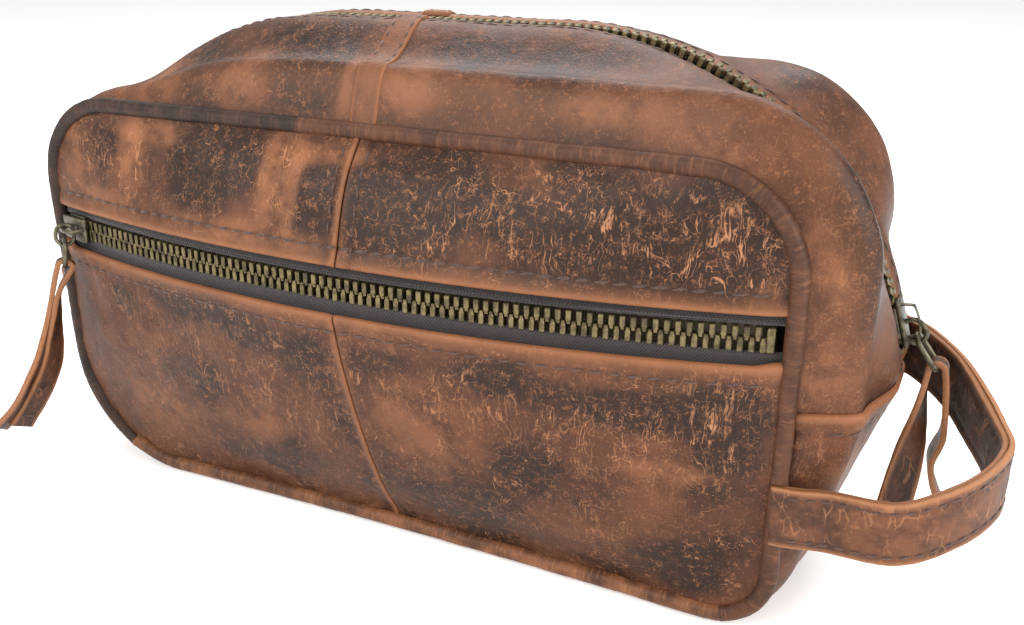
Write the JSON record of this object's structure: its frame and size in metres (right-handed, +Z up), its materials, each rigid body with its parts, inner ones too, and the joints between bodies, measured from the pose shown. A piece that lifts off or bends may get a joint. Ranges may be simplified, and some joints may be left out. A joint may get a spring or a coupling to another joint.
{
  "type": "shaving kit bag",
  "caption": "Leather shaving kit bag with a zipped mouth over its length, a zipped front pocket, corded piping and a strap handle sewn across one end.",
  "frame": {"origin": "on the flat underside of the base band, below the middle of the bag", "axes": "+X along the bag to the end with the handle, +Y to the back, +Z up"},
  "size_m": [0.2901, 0.1137, 0.1439],
  "materials": {
    "bag_leather": "distressed pull-up leather, satin",
    "dark_piping_leather": "dark leather wrapped over cord",
    "piping_leather": "leather wrapped over cord",
    "piping_cord": "twisted cotton filler cord",
    "lining_cloth": "plain woven cotton",
    "zip_tape": "woven polyester twill",
    "zip_brass": "antique brass",
    "zip_bronze": "antique bronze",
    "pull_leather": "split leather thong with raw edges",
    "handle_leather": "two straps sewn back to back"
  },
  "bodies": {
    "bag": {"front_upper_left_panel": "bag_leather", "front_upper_right_panel": "bag_leather", "front_lower_left_panel": "bag_leather", "front_lower_right_panel": "bag_leather", "back_left_panel": "bag_leather", "back_right_panel": "bag_leather", "top_front_right_gusset": "bag_leather", "top_front_left_gusset": "bag_leather", "top_front_strip": "bag_leather", "top_back_right_gusset": "bag_leather", "top_back_left_gusset": "bag_leather", "top_back_strip": "bag_leather", "base_gusset": "bag_leather", "front_piping_right": "piping_leather", "front_piping_left": "dark_piping_leather", "front_piping_base": "piping_leather", "back_piping_upper": "piping_leather", "back_piping_base": "piping_leather", "front_piping_cord": "piping_cord", "back_piping_cord": "piping_cord", "front_pocket_lining": "lining_cloth", "lining_front": "lining_cloth", "lining_back": "lining_cloth", "lining_top_front": "lining_cloth", "lining_top_back": "lining_cloth", "lining_base": "lining_cloth", "front_zip_tape_upper": "zip_tape", "front_zip_tape_lower": "zip_tape", "front_zip_teeth_upper": "zip_brass", "front_zip_teeth_lower": "zip_brass", "front_zip_end_stop": "zip_brass", "main_zip_tape_front": "zip_tape", "main_zip_tape_back": "zip_tape", "main_zip_teeth_front": "zip_brass", "main_zip_teeth_back": "zip_brass", "main_zip_end_stop": "zip_brass"},
    "front_slider": {"front_zip_slider": "zip_bronze"},
    "front_link": {"front_zip_link": "zip_bronze"},
    "front_pull": {"front_zip_pull": "pull_leather"},
    "main_slider": {"main_zip_slider": "zip_bronze"},
    "main_link": {"main_zip_link": "zip_bronze"},
    "main_pull": {"main_zip_pull": "pull_leather"},
    "handle": {"handle_outer": "handle_leather", "handle_inner": "handle_leather"}
  },
  "joints": [
    {"name": "front_slider_travel", "type": "hinge", "parent": "bag", "child": "front_slider", "pos_m": [0, 0.364, 0.08], "axis": [0, 0, 1], "range_deg": [0, 27.5]},
    {"name": "front_link_swing", "type": "hinge", "parent": "front_slider", "child": "front_link", "pos_m": [-0.1029, -0.04119, 0.08], "axis": [-0.9692, 0.2462, 0], "range_deg": [-4, 100]},
    {"name": "front_pull_swing", "type": "hinge", "parent": "front_link", "child": "front_pull", "pos_m": [-0.1029, -0.04345, 0.06934], "axis": [-0.76, 0.6358, -0.1351], "range_deg": [-8, 60]},
    {"name": "main_slider_travel", "type": "hinge", "parent": "bag", "child": "main_slider", "pos_m": [0.041, 0, 0.0485], "axis": [0, -1, 0], "range_deg": [0, 70]},
    {"name": "main_link_swing", "type": "hinge", "parent": "main_slider", "child": "main_link", "pos_m": [0.13342, 0, 0.0754], "axis": [0, -1, 0], "range_deg": [-4, 10]},
    {"name": "main_pull_swing", "type": "hinge", "parent": "main_link", "child": "main_pull", "pos_m": [0.14101, 0, 0.06534], "axis": [0, -1, 0], "range_deg": [-4, 8]},
    {"name": "handle_swing", "type": "hinge", "parent": "bag", "child": "handle", "pos_m": [0.1238, -0.001, 0.0479], "axis": [0, -0.9547, -0.2976], "range_deg": [-18, 25], "stiffness_Nm_per_rad": 0.03, "springref_deg": 2.58}
  ]
}
